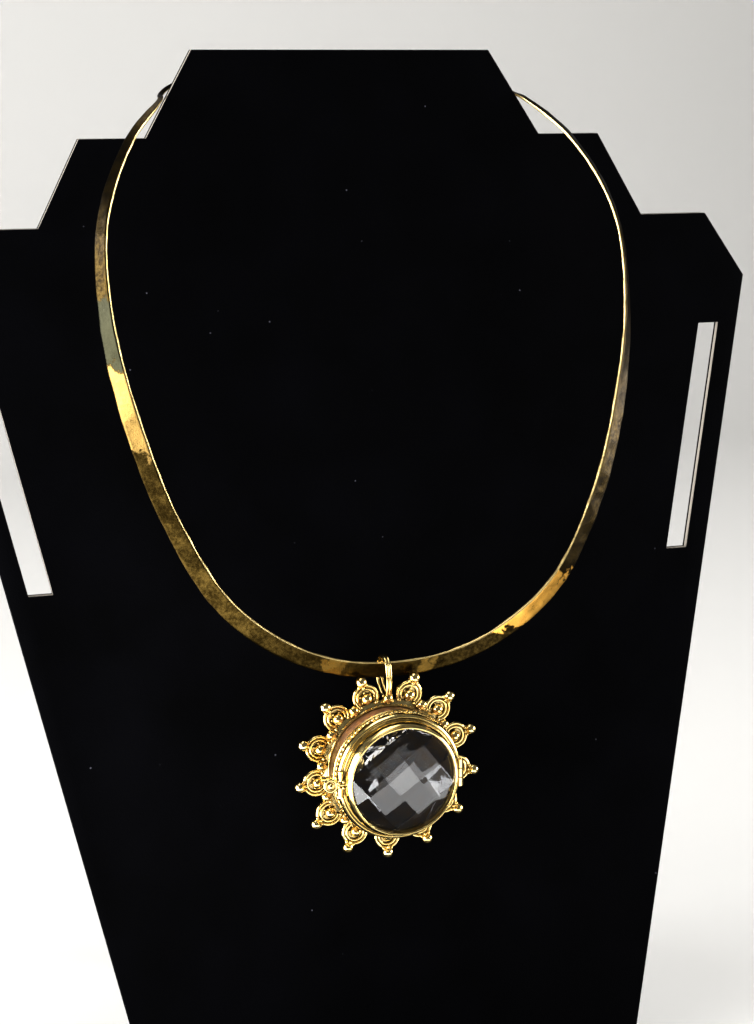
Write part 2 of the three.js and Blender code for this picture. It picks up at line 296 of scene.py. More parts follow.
def draw_rod(start, end, radius, sides=20, rim=0.12):
    """A round rod between two points, with softened rims."""
    along = end - start
    choose_all("DESELECT")
    turn = along.to_track_quat("Z", "Y").to_euler()
    add_cylinder(sides, radius - rim, along.length, (start + end) / 2, turn)
    mesh = bmesh.from_edit_mesh(bpy.context.object.data)
    axis = along.normalized()
    sides_only = [f for f in mesh.faces if f.select and abs(f.normal.dot(axis)) < 0.5]
    for face in mesh.faces:
        face.select = False
    for face in sides_only:
        face.select = True
    bmesh.update_edit_mesh(bpy.context.object.data)
    bpy.ops.mesh.extrude_region_shrink_fatten(
        TRANSFORM_OT_shrink_fatten={"value": rim * MM * RIM_SWELL}
    )
    turn_outward()


def draw_barrel(x, low, high, radius, **shape):
    """An upright rod at the hinge or at the catch."""
    draw_rod(at(x, HINGE_FORWARD, low), at(x, HINGE_FORWARD, high), radius, **shape)


def draw_bent_wire(points, radius, sides=14):
    """A wire along a route that bends in one upright plane, with closed ends."""
    choose_all("DESELECT")
    mesh = bpy.context.object.data
    old = len(bmesh.from_edit_mesh(mesh).verts)
    for i, point in enumerate(points):
        along = points[min(i + 1, len(points) - 1)] - points[max(i - 1, 0)]
        draw_circle(point, radius, sides, (math.atan2(-along.y, along.z), 0, 0))
    select_where("VERT", lambda vert: vert.index >= old)
    bpy.ops.mesh.bridge_edge_loops()
    close_shell()


def draw_arch(centre, radius, wire, opening, sides=10, steps=36):
    """A wire bent round a point in the rays' plane, open at the side nearest the locket."""
    start = math.pi - opening / 2
    begin = centre + Vector((math.sin(start), 0, math.cos(start))) * radius * MM
    choose_all("DESELECT")
    draw_circle(begin, wire, sides, (0, start + math.pi / 2, 0))
    spin(steps, 2 * math.pi - opening, centre)
    close_shell()


def select_where(kind, test):
    """Selects the corners, edges or faces of the open piece that pass the test, and no others."""
    mesh = bmesh.from_edit_mesh(bpy.context.object.data)
    bpy.ops.mesh.select_mode(type=kind)
    parts = {"VERT": mesh.verts, "EDGE": mesh.edges, "FACE": mesh.faces}[kind]
    parts.index_update()
    for part in parts:
        part.select_set(test(part))
    mesh.select_flush_mode()
    bmesh.update_edit_mesh(bpy.context.object.data)


def take(piece):
    """Leaves this piece alone selected and active."""
    to_object_mode()
    bpy.ops.object.select_all(action="DESELECT")
    piece.select_set(True)
    bpy.context.view_layer.objects.active = piece


def apply_modifier(piece, kind, **settings):
    """Adds a modifier to the piece, sets it and applies it."""
    take(piece)
    modifier = piece.modifiers.new(kind.title(), kind)
    for setting, value in settings.items():
        setattr(modifier, setting, value)
    bpy.ops.object.modifier_apply(modifier=modifier.name)


def ripple(piece, size, depth, kind="CLOUDS"):
    """Moves the surface in and out over a grain of the given size, as hand work does."""
    texture = bpy.data.textures.new(f"{piece.name}_ripple", kind)
    texture.noise_scale = size * MM
    apply_modifier(
        piece,
        "DISPLACE",
        texture=texture,
        texture_coords="LOCAL",
        mid_level=0.5,
        strength=depth * MM,
    )


def soften(piece, width, segments=3, angle=30):
    """Rounds the edges that are sharper than the angle."""
    apply_modifier(
        piece,
        "BEVEL",
        width=width * MM,
        segments=segments,
        limit_method="ANGLE",
        angle_limit=math.radians(angle),
        use_clamp_overlap=True,
    )


def turned_piece(name, profile, steps, rounding, grain, depth, angle=30):
    """A piece turned from a profile, with softened edges and a slightly uneven surface."""
    piece = open_piece(name)
    draw_turned(profile, steps)
    soften(piece, rounding, segments=2, angle=angle)
    ripple(piece, grain, depth)
    return piece


def cut_away(piece, cutter):
    """Cuts the cutter's shape out of the piece and throws the cutter away."""
    apply_modifier(
        piece, "BOOLEAN", object=cutter, operation="DIFFERENCE", solver="EXACT", use_self=True
    )
    if not piece.data.vertices:
        raise RuntimeError(f"the cut left nothing of {piece.name}")
    bpy.data.objects.remove(cutter)


def finish_piece(piece, body, material, smooth=40):
    """Shades the piece, gives it its finish and lets it ride on its body."""
    take(piece)
    bpy.ops.object.shade_smooth_by_angle(angle=math.radians(smooth))
    piece.data.materials.clear()
    piece.data.materials.append(material)
    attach(piece, body)


def turned_copy(piece, name, angle):
    """A copy with a mesh of its own, turned clockwise round the locket's axis."""
    copy = piece.copy()
    copy.data = piece.data.copy()
    copy.name = name
    copy.data.name = name
    bpy.context.scene.collection.objects.link(copy)
    turn = Matrix.Rotation(angle, 4, "Y")
    copy.data.transform(Matrix.Translation(LOCKET) @ turn @ Matrix.Translation(-LOCKET))
    return copy


# ---- finishes ----

# how far from a wall the darkness of a crevice reaches, in millimetres
CREVICE_REACH = 1.0


class Finish:
    """A material being put together from nodes."""

    def __init__(self, name):
        material = bpy.data.materials.new(name)
        material.use_nodes = True
        self.tree = material.node_tree
        self.tree.nodes.clear()
        self.shader = self.node("ShaderNodeBsdfPrincipled")
        self.node("ShaderNodeOutputMaterial", Surface=self.shader.outputs["BSDF"])
        place = self.node("ShaderNodeTexCoord").outputs
        self.place, self.outward = place["Object"], place["Normal"]

    def node(self, kind, **inputs):
        """Adds a node and sets or links its inputs by name."""
        node = self.tree.nodes.new(kind)
        self.fill(node, inputs)
        return node

    def shade(self, **inputs):
        """Sets or links the inputs of the shader by name."""
        self.fill(self.shader, inputs)

    def fill(self, node, inputs):
        for name, value in inputs.items():
            self.join(node.inputs[name.replace("_", " ")], value)

    def join(self, socket, value):
        """Links a socket to an output, or sets it to a value."""
        if isinstance(value, bpy.types.NodeSocket):
            self.tree.links.new(value, socket)
        else:
            socket.default_value = value

    def noise(self, size, detail=3.0, roughness=0.55):
        """Soft noise whose lumps are about the given size in millimetres."""
        return self.node(
            "ShaderNodeTexNoise",
            Vector=self.place,
            Scale=1 / (size * MM),
            Detail=detail,
            Roughness=roughness,
        ).outputs["Fac"]

    def spots(self, size):
        """The distance to the nearest of many scattered points."""
        scale = 1 / (size * MM)
        node = self.node("ShaderNodeTexVoronoi", Vector=self.place, Scale=scale)
        return node.outputs["Distance"]

    def ramp(self, value, low, high, start=0.0, end=1.0):
        """Stretches a value between two limits onto a new range."""
        return self.node(
            "ShaderNodeMapRange",
            Value=value,
            From_Min=low,
            From_Max=high,
            To_Min=start,
            To_Max=end,
        ).outputs["Result"]

    def blend(self, share, first, second):
        """Mixes two colours by a share."""
        node = self.tree.nodes.new("ShaderNodeMix")
        node.data_type = "RGBA"
        self.join(node.inputs["Factor"], share)
        self.join(node.inputs["A"], colour(first))
        self.join(node.inputs["B"], colour(second))
        return node.outputs["Result"]

    def maths(self, kind, operation, *values):
        """Works on numbers or on vectors, and gives the node's outputs."""
        node = self.tree.nodes.new(kind)
        node.operation = operation
        for socket, value in zip(node.inputs, values):
            self.join(socket, value)
        return node.outputs

    def times(self, first, second):
        return self.maths("ShaderNodeMath", "MULTIPLY", first, second)["Value"]

    def plus(self, first, second):
        return self.maths("ShaderNodeMath", "ADD", first, second)["Value"]

    def hollows(self, reach):
        """How open the surface is: 1 in the open, towards 0 in crevices within the reach."""
        node = self.node("ShaderNodeAmbientOcclusion", Distance=reach * MM)
        node.samples = 6
        return node.outputs["AO"]

    def bump(self, height, depth):
        """Fine relief of a depth in millimetres."""
        node = self.node("ShaderNodeBump", Height=height, Distance=depth * MM, Strength=1.0)
        return node.outputs["Normal"]


def colour(value):
    """A colour that may lack its alpha, or an output that is left as it is."""
    if isinstance(value, bpy.types.NodeSocket):
        return value
    return (*value, 1.0) if len(value) == 3 else tuple(value)


def darker(tone, share):
    return tuple(part * share for part in tone)


def made(name, maker):
    """The finish of that name, made the first time that a piece asks for it."""
    if name not in bpy.data.materials:
        maker(name, bpy.context.scene.necklace_finish)
    return bpy.data.materials[name]


def gilt(name, bright, deep, patina_and_shade, rough=(0.07, 0.22), mark=0.012):
    """Gilt metal: warm shifts of tone, crevices darkened as patina and as painted shade, and fine
    handling marks.
    """
    finish = Finish(name)
    tone = finish.blend(finish.ramp(finish.noise(4.0), 0.35, 0.68), deep, bright)
    # how open the surface is, from an occlusion test: it marks where patina gathers and where
    # painted shade is put
    openness = finish.ramp(finish.hollows(CREVICE_REACH), 0.25, 0.9)
    polish = finish.ramp(finish.noise(1.6, detail=5), 0.3, 0.7, *rough)
    grime = finish.ramp(openness, 0.0, 1.0, 0.3, 0.0)
    wear = finish.noise(0.5, detail=6, roughness=0.7)
    finish.shade(
        # patina and painted shade: the base colour turns to the patina colour in crevices and
        # between parts, where shade falls
        Base_Color=finish.blend(openness, patina_and_shade, tone),
        Roughness=finish.plus(polish, grime),
        Metallic=1.0,
        Normal=finish.bump(wear, mark),
    )
    return finish


def polished_gilt(name, settings):
    gilt(name, settings.gold, settings.deep_gold, settings.patina_and_shade)


def rose_gilt(name, settings):
    """Dull gilt, painted lighter rose on the upper side as painted light and browner below as
    painted shade.
    """
    finish = gilt(
        name, settings.rose, settings.wall, settings.patina_and_shade, rough=(0.35, 0.6), mark=0.05
    )
    # painted light and shade: rose and lighter towards the top of the wall, browner and darker
    # towards the bottom
    height = finish.node("ShaderNodeSeparateXYZ", Vector=finish.place).outputs["Z"]
    lit_top_share = finish.ramp(height, LOCKET.z + 5 * MM, LOCKET.z + 12 * MM)
    lit_top_tone = finish.shader.inputs["Base Color"].links[0].from_socket
    finish.shade(Base_Color=finish.blend(lit_top_share, settings.wall, lit_top_tone))


# painted shade: near-black gilt for the sheet inside the case, standing in for the shade of the
# box's interior
def darkened_gilt(name, settings):
    gilt(name, settings.inside, settings.patina_and_shade, settings.inside, rough=(0.4, 0.6))


def forged_gilt(name, settings):
    """Forged band: mottled brown oxide, painted reflections in patches, and a painted highlight of
    bright gold along the edge that faces the neck.
    """
    finish = Finish(name)
    patch = finish.noise(3.2, detail=4, roughness=0.65)
    grain = finish.noise(0.8, detail=5, roughness=0.7)
    mottle = finish.times(finish.plus(patch, grain), 0.5)
    tone = finish.blend(finish.ramp(mottle, 0.42, 0.6), settings.oxide, settings.brown)

    # painted reflections: patches of gold, olive and orange painted into the band's colour where
    # lamps and surroundings would reflect, with ragged ends
    place = finish.node("ShaderNodeSeparateXYZ", Vector=finish.place).outputs
    ragged = finish.ramp(patch, 0.3, 0.7, -REFLECTION_RAGGED * MM, REFLECTION_RAGGED * MM)
    for axis, low, high, side, shade in PAINTED_REFLECTIONS:
        along = finish.plus(place[axis], ragged)
        share = finish.times(
            finish.ramp(along, (low - 0.4) * MM, (low + 0.4) * MM),
            finish.ramp(along, (high + 0.4) * MM, (high - 0.4) * MM),
        )
        here = finish.times(share, finish.ramp(place["X"], 0.0, side * 5 * MM))
        tone = finish.blend(here, tone, getattr(settings, shade))

    # painted highlight: bright gold where the surface faces the middle of the neck, standing in
    # for the line of light along the band's inner edge
    vectors = "ShaderNodeVectorMath"
    to_neck = finish.maths(vectors, "MULTIPLY_ADD", finish.place, (-1, 0, -1), NECK_CENTRE)
    heading = finish.maths(vectors, "NORMALIZE", to_neck["Vector"])
    facing = finish.maths(vectors, "DOT_PRODUCT", heading["Vector"], finish.outward)
    edge = finish.ramp(facing["Value"], 0.02, 0.2)
    dull = finish.ramp(grain, 0.3, 0.7, 0.4, 0.26)
    finish.shade(
        Base_Color=finish.blend(edge, tone, settings.band),
        Metallic=1.0,
        Roughness=finish.times(finish.ramp(edge, 0.0, 1.0, 1.0, 1.1), dull),
        Normal=finish.bump(grain, 0.04),
    )


def velvet(name, settings):
    """Black flock: a soft sheen, a nap that lies this way and that, and stray lint."""
    finish = Finish(name)
    nap = finish.noise(22.0, detail=4)
    pile = finish.noise(0.35, detail=2)
    ground = finish.blend(finish.ramp(nap, 0.3, 0.7), settings.velvet, settings.nap)
    lint = finish.ramp(finish.spots(7.0), 0.035, 0.02)
    sparse = finish.times(lint, finish.ramp(finish.noise(15.0), 0.5, 0.52))
    finish.shade(
        Base_Color=finish.blend(sparse, ground, settings.lint),
        Roughness=0.9,
        Specular_IOR_Level=0.012,
        Sheen_Weight=0.005,
        Sheen_Roughness=0.4,
        Sheen_Tint=(0.35, 0.37, 0.55, 1),
        Normal=finish.bump(pile, 0.12),
    )


def card(name, settings):
    """The grey-beige card between the two layers of velvet."""
    finish = Finish(name)
    fibre = finish.noise(0.6, detail=5)
    finish.shade(
        Base_Color=finish.blend(fibre, darker(settings.card, 0.55), settings.card),
        Roughness=0.85,
        Normal=finish.bump(fibre, 0.08),
    )


def crystal(name, settings):
    """Clear quartz with faint veils and the finest of polishing marks."""
    finish = Finish(name)
    veil = finish.ramp(finish.noise(5.0, detail=4), 0.35, 0.75)
    finish.shade(
        Transmission_Weight=1.0,
        IOR=1.55,
        Base_Color=finish.blend(veil, settings.crystal, settings.veil),
        Roughness=finish.ramp(finish.noise(0.8, detail=5), 0.4, 0.8, 0.0, 0.03),
    )


def plain_floor(name, settings):
    finish = Finish(name)
    cloud = finish.noise(260.0, detail=2)
    finish.shade(
        Base_Color=finish.blend(cloud, darker(settings.floor, 0.97), settings.floor),
        Roughness=0.7,
    )


# ---- settings ----

def colour_setting(name, description, default):
    return bpy.props.FloatVectorProperty(
        name=name, description=description, default=default,
        subtype="COLOR", size=3, min=0.0, max=1.0,
    )


def length_setting(name, description, default):
    return bpy.props.FloatProperty(
        name=name, description=description, default=default * MM, unit="LENGTH", min=0.0
    )


def power_setting(name, description, default):
    return bpy.props.FloatProperty(
        name=name, description=description, default=default, min=0.0
    )


class CollarSettings(bpy.types.PropertyGroup):
    thickness: length_setting("Thickness", "Thickness of the forged band", 0.9)
    dent_size: length_setting("Dent size", "Distance between neighbouring hammer marks", 4.5)
    dent_depth: length_setting("Dent depth", "Depth of the hammer marks", 0.22)
    edge_wave: length_setting("Edge wave", "How far the edges stray from a true line", 0.25)


class LocketSettings(bpy.types.PropertyGroup):
    granule: length_setting("Granule", "Radius of the granule in the middle of a ray", 1.35)
    tip: length_setting("Tip granule", "Radius of the granule at a ray's tip", 1.42)
    grain: length_setting("Grain", "Radius of the smallest grains", 0.46)
    wire: length_setting("Wire", "Radius of the wire of the arches", 0.38)
    bail_wire: length_setting("Bail wire", "Radius of the wire of the bail", 0.38)
    facet: length_setting("Facet", "Side of the crystal's square facets", 5.9)


class FinishSettings(bpy.types.PropertyGroup):
    gold: colour_setting("Gold", "Polished gilt", (1.0, 0.78, 0.33))
    deep_gold: colour_setting("Deep gold", "Gilt where its tone is warmer", (0.9, 0.63, 0.2))
    # the patina colour is also painted shade in the crevices of the gilt
    patina_and_shade: colour_setting("Patina", "Metal in the crevices", (0.09, 0.05, 0.012))
    # painted light and shade: the browned colour stands for the shaded lower side of the locket's
    # wall, the copper-rich rose for its lit upper side
    wall: colour_setting("Wall", "Browned side of the locket", (0.2, 0.12, 0.045))
    rose: colour_setting("Rose", "Copper-rich side of the locket", (0.66, 0.38, 0.25))
    # painted shade: the near-black colour of the sheet inside the locket stands in for shade
    inside: colour_setting("Inside", "Darkened metal inside the locket", (0.05, 0.047, 0.048))
    # painted highlight: the bright gold painted along the band's edge that faces the neck
    band: colour_setting("Band", "Gold along the bright edge of the band", (0.95, 0.7, 0.28))
    # painted reflection: the gold where the oxide looks rubbed thin stands in for a lamp reflected
    # in the band
    reflected_gold: colour_setting("Rubbed", "Gold where the oxide is rubbed thin", (0.2, 0.122, 0.032))
    oxide: colour_setting("Oxide", "Dark oxide on the forged band", (0.01, 0.006, 0.0012))
    brown: colour_setting("Brown", "Thinner, browner oxide on the band", (0.034, 0.021, 0.0045))
    # painted reflections: the gold through thin oxide is a painted glint, the olive stain a
    # painted reflection of dark surroundings and the orange gold a painted reflection of a lamp
    glint: colour_setting("Thin", "Gold that shows through thin oxide", (0.1, 0.058, 0.011))
    reflected_olive: colour_setting("Stain", "Olive stain on the forged band", (0.017, 0.0165, 0.009))
    reflected_orange: colour_setting("Copper", "Orange gold on the forged band", (1.0, 0.5, 0.08))
    velvet: colour_setting("Velvet", "Black of the velvet", (0.0003, 0.0003, 0.0004))
    nap: colour_setting("Nap", "Velvet where its nap lies over", (0.0006, 0.0006, 0.0009))
    lint: colour_setting("Lint", "Stray lint on the velvet", (0.04, 0.04, 0.05))
    card: colour_setting("Card", "Card between the layers of velvet", (0.34, 0.3, 0.25))
    crystal: colour_setting("Crystal", "Clear quartz", (1.0, 1.0, 1.0))
    veil: colour_setting("Veil", "Faint veils in the quartz", (0.93, 0.93, 0.98))
    floor: colour_setting("Floor", "Plain pale floor", (0.62, 0.61, 0.59))


class StageSettings(bpy.types.PropertyGroup):
    key: power_setting("Key light", "Power of the left softbox", 32.0)
    fill: power_setting("Fill light", "Power of the right softbox", 12.0)
    top: power_setting("Top light", "Power of the overhead softbox", 10.0)
    card: power_setting("Card light", "Power of the low cards", 6.5)
    rim: power_setting("Rim light", "Power of the strip behind", 5.0)
    room: power_setting("Room light", "Strength of the light all round", 0.12)


# ---- display ----

def board_points(shrink, depth):
    """The board's outline at a depth, drawn in by a small margin."""
    right = [(half - shrink, height) for half, height in BOARD_OUTLINE]
    left = [(-half, height) for half, height in reversed(right)]
    return [on_board(x, z, depth) for x, z in [*right, *left]]


def board_layer(name, front, depth, shrink):
    """One layer of the board: its outline pulled back to a slab, with its two slots."""
    piece = open_piece(name)
    draw_slab(board_points(shrink, front), depth)
    (low_in, low_out, low), (high_in, high_out, high) = SLOT_ENDS
    corners = ((low_in, low), (low_out, low), (high_out, high), (high_in, high))
    for side in (1, -1):
        cutter = open_piece("slot_cutter")
        draw_slab([on_board(side * x, z, -BOARD_DEPTH) for x, z in corners], 3 * BOARD_DEPTH)
        cut_away(piece, cutter)
    return piece


class NECKLACE_OT_display_board(bpy.types.Operator):
    """Models the leaning board: two layers of velvet over a core of card"""

    bl_idname = "necklace.display_board"
    bl_label = "Display board"

    def execute(self, context):
        pile = made("black_velvet", velvet)
        front = board_layer("velvet_front", 0.0, VELVET_DEPTH, 0.0)
        back = board_layer("velvet_back", BOARD_DEPTH - VELVET_DEPTH, VELVET_DEPTH, 0.0)
        for layer in (front, back):
            soften(layer, 0.32)
            finish_piece(layer, "root", pile)
        core = board_layer(
            "card_core", VELVET_DEPTH, BOARD_DEPTH - 2 * VELVET_DEPTH, CARD_INSET
        )
        finish_piece(core, "root", made("grey_card", card))
        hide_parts("display_board")
        return {"FINISHED"}


class NECKLACE_OT_display_strut(bpy.types.Operator):
    """Models the easel strut behind the board"""

    bl_idname = "necklace.display_strut"
    bl_label = "Display strut"

    def execute(self, context):
        piece = open_piece("velvet_strut")
        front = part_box("display_strut")[0].y
        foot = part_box("display_strut")[1].y
        back = Vector((0, STRUT_DEPTH * MM, 0))
        (half_foot, low), (half_top, high) = STRUT_FOOT, STRUT_TOP
        outline = [
            Vector((half_foot * MM, foot, low * MM)) - back,
            Vector((half_top * MM, front, high * MM)),
            Vector((-half_top * MM, front, high * MM)),
            Vector((-half_foot * MM, foot, low * MM)) - back,
        ]
        draw_slab(outline, STRUT_DEPTH)
        soften(piece, 0.6)
        finish_piece(piece, "root", made("black_velvet", velvet))
        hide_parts("display_strut")
        return {"FINISHED"}


# ---- collar ----

def smooth_route(points, share):
    """A point on the smooth curve through the points, with knots spaced by root distance."""
    span = min(int(share * (len(points) - 1)), len(points) - 2)
    step = share * (len(points) - 1) - span
    here, there = points[span], points[span + 1]
    before = points[span - 1] if span > 0 else 2 * here - there
    after = points[span + 2] if span + 2 < len(points) else 2 * there - here
    spans = ((before, here), (here, there), (there, after))
    gaps = [max((b - a).length ** 0.5, SMALLEST_GAP) for a, b in spans]
    leave = (here - before) / gaps[0] - (there - before) / (gaps[0] + gaps[1])
    leave = (leave + (there - here) / gaps[1]) * gaps[1]
    arrive = (there - here) / gaps[1] - (after - here) / (gaps[1] + gaps[2])
    arrive = (arrive + (after - there) / gaps[2]) * gaps[1]
    square = 3 * (there - here) - 2 * leave - arrive
    cube = 2 * (here - there) + leave + arrive
    return here + leave * step + square * step ** 2 + cube * step ** 3


def mirrored(rows, to_point):
    """The rows down the right side, then back up the left."""
    right = [to_point(row, 1) for row in rows]
    left = [to_point(row, -1) for row in rows[:-1]]
    return [*right, *reversed(left)]


def collar_sections(thickness):
    """The four corners of the band at each step along its route."""
    route = mirrored(COLLAR_ROWS, lambda row, side: on_board(side * row[0], row[1], -row[2]))
    shape = mirrored(COLLAR_ROWS, lambda row, side: Vector((row[3], row[4], 0)))
    stations = [smooth_route(route, i / ROUTE_STEPS) for i in range(ROUTE_STEPS + 1)]
    length = sum((b - a).length for a, b in zip(stations, stations[1:]))
    count = round(length / (COLLAR_STEP * MM))
    forward = Vector((0, -1, 0))
    sections = []
    walked = 0.0
    for i, (here, there) in enumerate(zip(stations, stations[1:])):
        if walked >= len(sections) * length / count or i == len(stations) - 2:
            share = i / ROUTE_STEPS if i < len(stations) - 2 else 1.0
            centre = smooth_route(route, share)
            width, flare, _ = smooth_route(shape, share)
            tangent = (there - here).normalized()
            inward = tangent.cross(forward).normalized()
            face = inward.cross(tangent).normalized()
            angle = math.radians(flare)
            across = inward * math.cos(angle) + face * math.sin(angle)
            through = tangent.cross(across)
            half = across * (width * MM / 2)
            deep = through * (thickness / 2)
            sections.append([
                centre + half + deep,
                centre + half - deep,
                centre - half - deep,
                centre - half + deep,
            ])
        walked += (there - here).length
    return sections


def is_rung(edge):
    """True where an edge joins two of the four corners of one section."""
    first, second = (vert.index // 4 for vert in edge.verts)
    return first == second


class NECKLACE_OT_collar(bpy.types.Operator):
    """Models the forged collar: a band lofted along its route, then hammered"""

    bl_idname = "necklace.collar"
    bl_label = "Hammered collar"

    # a rung runs across the band, and is longer than this many times the band's thickness
    RUNG = 1.15
    RUNG_CUTS = 5
    WAVE_SIZE = 9.0

    def execute(self, context):
        sizes = context.scene.necklace_collar
        piece = open_piece("hammered_collar")
        for corners in collar_sections(sizes.thickness):
            draw_loop(corners)
        choose_all("SELECT")
        bpy.ops.mesh.bridge_edge_loops()
        shortest = self.RUNG * sizes.thickness
        select_where("EDGE", lambda edge: edge.calc_length() > shortest and is_rung(edge))
        bpy.ops.mesh.subdivide(number_cuts=self.RUNG_CUTS)
        choose_all("SELECT")
        bpy.ops.mesh.fill_holes(sides=0)
        choose_all("SELECT")
        bpy.ops.mesh.normals_make_consistent(inside=False)
        apply_modifier(piece, "SUBSURF", levels=2, render_levels=2)
        ripple(piece, sizes.dent_size / MM, sizes.dent_depth / MM, "VORONOI")
        ripple(piece, self.WAVE_SIZE, sizes.edge_wave / MM)
        finish_piece(piece, "root", made("forged_gilt", forged_gilt), smooth=60)
        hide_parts("neck_collar")
        return {"FINISHED"}


class NECKLACE_OT_clasp(bpy.types.Operator):
    """Models the barrel clasp behind the neck"""

    bl_idname = "necklace.clasp"
    bl_label = "Barrel clasp"

    BARREL = 0.86
    BANDS = (0.06, 0.3, 0.5, 0.7, 0.94)
    HALF_BAND = 0.45

    def execute(self, context):
        low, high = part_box("collar_clasp")
        centre = (low + high) / 2
        radius = (high.z - low.z) / 2 / MM
        piece = open_piece("barrel_clasp")
        left = Vector((low.x, centre.y, centre.z))
        right = Vector((high.x, centre.y, centre.z))
        draw_rod(left, right, radius * self.BARREL, sides=32)
        band = Vector((self.HALF_BAND * MM, 0, 0))
        for share in self.BANDS:
            middle = left.lerp(right, share)
            draw_rod(middle - band, middle + band, radius, sides=32)
        finish_piece(piece, "root", made("forged_gilt", forged_gilt))
        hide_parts("collar_clasp")
        return {"FINISHED"}


# ---- locket case ----

def gild(piece, body="locket"):
    """Finishes a piece of the locket in polished gilt."""
    finish_piece(piece, body, made("polished_gilt", polished_gilt))


def knuckle_room():
    """The space that the lid's knuckle turns in, as a cutter."""
    room = open_piece("knuckle_room")
    draw_barrel(HINGE_RADIUS, -ROOM_END, ROOM_END, ROOM)
    return room


class NECKLACE_OT_case(bpy.types.Operator):
    """Turns the locket's box, base plate, floor and ring mouldings"""

    bl_idname = "necklace.case"
    bl_label = "Locket case"

    ROPE_TURNS = 78
    SHELL = (
        (0, -7.3), (6, -7.25), (11, -7.0), (13.2, -6.5), (14.3, -5.8), (14.6, -5.1),
        (14.6, -0.6), (16.6, -0.6), (16.6, 0.35), (15.4, 0.5), (14.95, 0.8), (14.85, 1.3),
    )
    WALL = (
        (14.8, 1.2), (14.95, 1.2), (14.85, 3.6), (14.9, 7.0), (13.4, 7.0), (13.4, 1.2),
        (14.8, 1.2),
    )
    # the rim: its outer step, a rounded shoulder, a groove and the mouth of the box
    RIM = (
        (14.9, 6.8), (15.3, 7.0), (15.35, 8.45), (15.68, 8.58), (15.86, 8.95),
        (15.86, 9.4), (15.72, 9.9), (15.45, 10.32), (15.1, 10.56), (14.88, 10.48),
        (14.76, 10.05), (14.68, 10.4), (14.55, 10.58), (14.25, 10.58), (14.1, 10.42),
        (14.1, 9.9), (13.4, 9.9), (13.4, 6.8), (14.9, 6.8),
    )
    # a thin sheet lining the inside of the box, dark as painted shade
    LINING = (
        (0, -5.8), (13.3, -5.0), (13.3, 9.6), (13.39, 9.6), (13.39, -5.09), (0, -5.89),
    )
    FLOOR = ((14.85, 1.3), (13.4, 1.3), (13.4, -5.1), (0, -5.9))
    # radius, distance forward and thickness of each plain wire
    WIRE_RINGS = ((15.2, 0.75, 0.34), (15.72, 7.15, 0.36))
    ROPE = (0, 7.95, 15.62)
    STRAND = 0.74
    STRAND_SHAPE = (1.02, 1, 0.6)
    STRAND_SLANT = math.radians(32)

    def execute(self, context):
        shell = turned_piece("case_shell", (*self.SHELL, *self.FLOOR), 128, 0.1, 5.0, 0.08)
        gild(shell)
        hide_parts("locket_case")

        # its finish paints the upper side of the wall as lit and the lower side as shaded
        wall = turned_piece("case_wall", self.WALL, 160, 0.08, 1.6, 0.16)
        finish_piece(wall, "locket", made("rose_gilt", rose_gilt))

        # painted shade: a dark sheet inside the box, where its interior lies in shade
        shade_lining = open_piece("case_lining")
        draw_turned(self.LINING, 96)
        finish_piece(shade_lining, "locket", made("darkened_gilt", darkened_gilt))

        rings = open_piece("ring_mouldings")
        for radius, forward, wire in self.WIRE_RINGS:
            draw_wire_ring(radius, forward, wire)
        ripple(rings, 4.0, 0.07)
        gild(rings)

        rim = turned_piece("case_rim", self.RIM, 160, 0.05, 4.0, 0.07, angle=22)
        cut_away(rim, knuckle_room())
        gild(rim)

        rope = open_piece("twisted_ring")
        centre = at(*self.ROPE)
        draw_ball(centre, self.STRAND, segments=14)
        bpy.ops.transform.resize(value=self.STRAND_SHAPE, center_override=centre)
        turn = Matrix.Rotation(self.STRAND_SLANT, 4, "Z")
        move = Matrix.Translation(centre) @ turn @ Matrix.Translation(-centre)
        mesh = bmesh.from_edit_mesh(rope.data)
        bmesh.ops.transform(mesh, matrix=move, verts=mesh.verts[:])
        bmesh.update_edit_mesh(rope.data)
        count = self.ROPE_TURNS
        spin(count - 1, 2 * math.pi * (count - 1) / count, dupli=True)
        gild(rope)
        return {"FINISHED"}


def draw_grains(rows, radius, grain):
    """Small grains round a place at that radius above the middle of the locket."""
    for x, forward, rise, share, segments in rows:
        draw_ball(at(x, forward, radius + rise), grain * share, segments=segments)


def set_round(pattern, name, angles):
    """Sets a copy of the pattern at each angle round the locket, and clears the pattern away."""
    to_object_mode()
    for number, angle in enumerate(angles, 1):
        copy = turned_copy(pattern, f"{name}_{number:02d}", angle)
        gild(copy)
    bpy.data.objects.remove(pattern)


